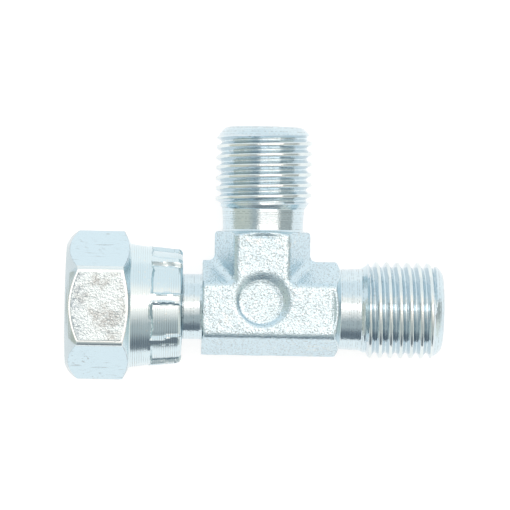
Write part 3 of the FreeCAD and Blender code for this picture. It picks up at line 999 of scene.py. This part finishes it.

# %% [markdown]
# ## Finishes of the nut
# The hexagon's flats are the bar as it was drawn: they are finely pitted, with brownish stains, a
# few marks and scratches from handling and a duller patch near the mouth. Along its borders each
# flat is smoother, and on the front flat a thin bright rim there is a painted highlight. The skirt
# was turned with a coarse feed, which leaves lines about a third of a millimetre apart. Those are
# in the mesh, and the material paints shade into the valleys between them, in patches, and most
# towards -Y. Where two faces of the hexagon meet, the edge carries painted light: painted shade at
# the sides and a painted highlight in front, broken by patches of plain zinc.

# %% Drawn bar
FRONT_FACE, NEAR_MOUTH, LOW_DOWN = (8.7, 9.3), (24.6, 27.4), (2, 5)
RIM_WIDTH, CORNER_FROM = (0.28, 0.42), (10.6, 10.66)
# The second colour on the next line is a painted highlight for the front flat's rim.
FRONT_ZINC, RIM_HIGHLIGHT = (0.60, 0.71, 0.75), (0.74, 0.82, 0.84)
BROWN_STAIN, FINE_PIT, DULL_PATCH = (0.36, 0.38, 0.38), (0.33, 0.39, 0.42), (0.33, 0.41, 0.47)
DARK_MARK, DARK_SCRATCH = (0.34, 0.39, 0.41), (0.33, 0.38, 0.40)


def along_borders(x, y, z):
    """1 in a thin rim along each border of the hexagon's flats."""
    from_axis = x.maths("SQRT", y * y + z * z)
    from_front = x - NUT_MOUTH - (from_axis - FACE_R) * FRONT_SLOPE
    from_back = NUT_HEX_BACK - (from_axis - SKIRT_TOP_R) * BACK_SLOPE - x
    from_end = x.maths("MINIMUM", from_front, from_back)
    return (1 - from_end.step(*RIM_WIDTH) + from_axis.step(*CORNER_FROM)).capped()


def scratches(place):
    """Short lines, all in one direction, that come in groups."""
    stretched = place.node("Mapping", {}, {0: place, "Rotation": (0.3, 0.5, 0.6),
                                           "Scale": (0.35, 3.5, 0.35)})
    return grain(stretched, 0.5, 3.0, 0.6).step(0.56, 0.68) * grain(place, 2.5).step(0.46, 0.58)


def drawn_bar_zinc():
    material, shader, place = start_material("drawn_bar_zinc")
    x = place.node("SeparateXYZ", {}, {0: place})
    y, z = x.other(1), x.other(2)
    on_front = z.step(*FRONT_FACE)
    rim = along_borders(x, y, z)
    pits = grain(place, 0.13, 2.0, 0.6) * (1 - rim * 0.9)
    fine = grain(place, 0.15, 1.0)
    stain = grain(place, 1.3, 3.0, 0.6).step(0.47, 0.66) * (0.35 + 0.65 * fine.step(0.38, 0.65))
    worn = (x * -1).step(*NEAR_MOUTH) * grain(place, 0.9).step(0.25, 0.55)
    marks = grain(place, 0.35, 3.0, 0.6).step(0.55, 0.7) * grain(place, 2.0).step(0.48, 0.62)
    scratch = scratches(place)
    layers = [
        (stain * on_front * 0.85, BROWN_STAIN),
        (fine.step(0.6, 0.72) * on_front * 0.5, FINE_PIT),
        (worn * fine.step(0.42, 0.56) * on_front * 0.85, DULL_PATCH),
        (marks * (0.35 + 0.5 * (y * -1).step(*LOW_DOWN)), DARK_MARK),
        (scratch * 0.6, DARK_SCRATCH),
        # The front flat's rim is a painted highlight.
        (rim * on_front, RIM_HIGHLIGHT),
    ]
    colour = on_front.tint(ZINC, FRONT_ZINC)
    for share, tone in layers:
        colour = share.tint(colour, tone)
    height = pits * (0.35 + 0.65 * on_front) - scratch * 0.2
    finish_metal(shader, colour, 0.2 + 0.08 * stain, height, height_mm=0.07)
    return material


BAR = drawn_bar_zinc()
print("made", BAR.name)

# %% Coarse turning, and painted light on the edges
# The second colour on the next line is painted shade for the valleys between the skirt's tool
# lines.
SKIRT_ZINC, VALLEY_SHADE, DULL_FRONT = (0.65, 0.775, 0.825), (0.30, 0.34, 0.36), (0.54, 0.63, 0.67)
# Painted shade and a painted highlight for the hexagon's edges.
EDGE_SHADE, EDGE_HIGHLIGHT = (0.40, 0.47, 0.51), (0.80, 0.82, 0.80)
FRONT_BEVEL, SHADED_SIDE = (22, 24), (1, 3)


def coarse_turned_zinc():
    material, shader, place = start_material("coarse_turned_zinc")
    x = place.node("SeparateXYZ", {}, {0: place})
    rings = uneven_rings(x, 4.0)
    specks = grain(place, 0.2, 1.0).step(0.62, 0.8)
    feed = ((x - NUT_HEX_BACK) * (1 / TOOL_FEED)).part_after_point()
    # Painted shade in the valleys between the tool lines, in patches, and strongest towards -Y.
    between = (feed - 0.5).size().step(0.3, 0.46)
    valley_patches = grain(place, 1.5, 2.0).step(0.3, 0.7) * (x - NUT_HEX_BACK).step(0.15, 0.55)
    shade_towards_minus_y = 0.22 + 0.45 * (x.other(1) * -1).step(*SHADED_SIDE)
    colour = (specks * 0.5).tint(SKIRT_ZINC, ZINC_CREAM)
    colour = (between * valley_patches * shade_towards_minus_y).tint(colour, VALLEY_SHADE)
    colour = (x * -1).step(*FRONT_BEVEL).tint(colour, DULL_FRONT)
    roughness = 0.17 + 0.08 * grain(place, 1.2)
    finish_metal(shader, colour, roughness, rings + specks * 0.3, height_mm=0.02)
    return material


def edge_highlight_and_shade_zinc():
    """Painted light on the hexagon's edges: painted shade at the sides, and a painted highlight in
    front.
    """
    material, shader, place = start_material("edge_highlight_and_shade_zinc")
    on_front = place.node("SeparateXYZ", {}, {0: place}).other(2).step(*FRONT_FACE)
    edge_patches = grain(place, 0.5).step(0.25, 0.75)
    # Painted highlight on the front edges and painted shade on the side edges, broken by patches
    # of plain zinc.
    colour = edge_patches.tint(on_front.tint(EDGE_SHADE, EDGE_HIGHLIGHT), ZINC)
    finish_metal(shader, colour, 0.22 + 0.1 * edge_patches, edge_patches, height_mm=0.02)
    return material


COARSE, EDGE_LIGHT = coarse_turned_zinc(), edge_highlight_and_shade_zinc()
print("made", COARSE.name, "and", EDGE_LIGHT.name)

# %% The nut as a mesh
AS_DRAWN, AS_TURNED, AS_EDGE_LIGHT = 0, 1, 2
bands = outside + bore
band_finish = [AS_TURNED] * len(bands)
# The bands beside each flat take the edges' painted highlight and shade.
band_finish[3:6] = AS_EDGE_LIGHT, AS_DRAWN, AS_EDGE_LIGHT
finish_rows = np.repeat(band_finish, [rows.shape[1] for rows in bands])
nut = around_x("hexagon_swivel_nut", nut_profile, nut_turn, [BAR, COARSE, EDGE_LIGHT],
               wraps=True, band_numbers=finish_rows)
smooth(nut, 30)
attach(nut, "nut")
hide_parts("swivel_nut")
print("nut", len(nut.data.polygons), "faces, open edges", open_edges(nut.data))

# %% [markdown]
# ## The sealing ring
# A ring of black rubber lies in the nose's groove, and seals against the cone of the next fitting.
# It is mostly hidden, but it shows when the fitting is looked at from the nut's mouth. A torus is
# the right shape, with the faint moulding line that such rings have round their outside.

# %% Sealing ring
SEAL_X, SEAL_R, SEAL_SECTION = -21.7, 3.92, 0.75
MOULD_LINE, DUST_HEIGHT = 0.02, 0.01
CLEAN_RUBBER, DUSTY_RUBBER = (0.012, 0.012, 0.013), (0.035, 0.035, 0.037)
section = np.radians(np.arange(0, 360, 15))
section_r = SEAL_SECTION + MOULD_LINE * (np.abs(np.degrees(section) - 90) < 8)
seal_profile = np.stack([SEAL_X + section_r * np.cos(section),
                         SEAL_R + section_r * np.sin(section)], axis=-1)
rubber, shader, place = start_material("black_rubber")
dust = grain(place, 0.3, 3.0).step(0.4, 0.75)
relief = shader.node("Bump", {}, {"Distance": DUST_HEIGHT * MM, "Height": dust})
skin_of_rubber = shader.node("BsdfPrincipled", {}, {
    "Base Color": dust.tint(CLEAN_RUBBER, DUSTY_RUBBER),
    "Roughness": 0.42 + 0.2 * dust, "Normal": relief})
shader.node("OutputMaterial", {}, {0: skin_of_rubber})
seal = around_x("rubber_sealing_ring", seal_profile, even_turn(120), [rubber], wraps=True)
smooth(seal, 60)
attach(seal, "body")
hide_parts("seal_ring")
print("sealing ring", len(seal.data.polygons), "faces, open edges", open_edges(seal.data))
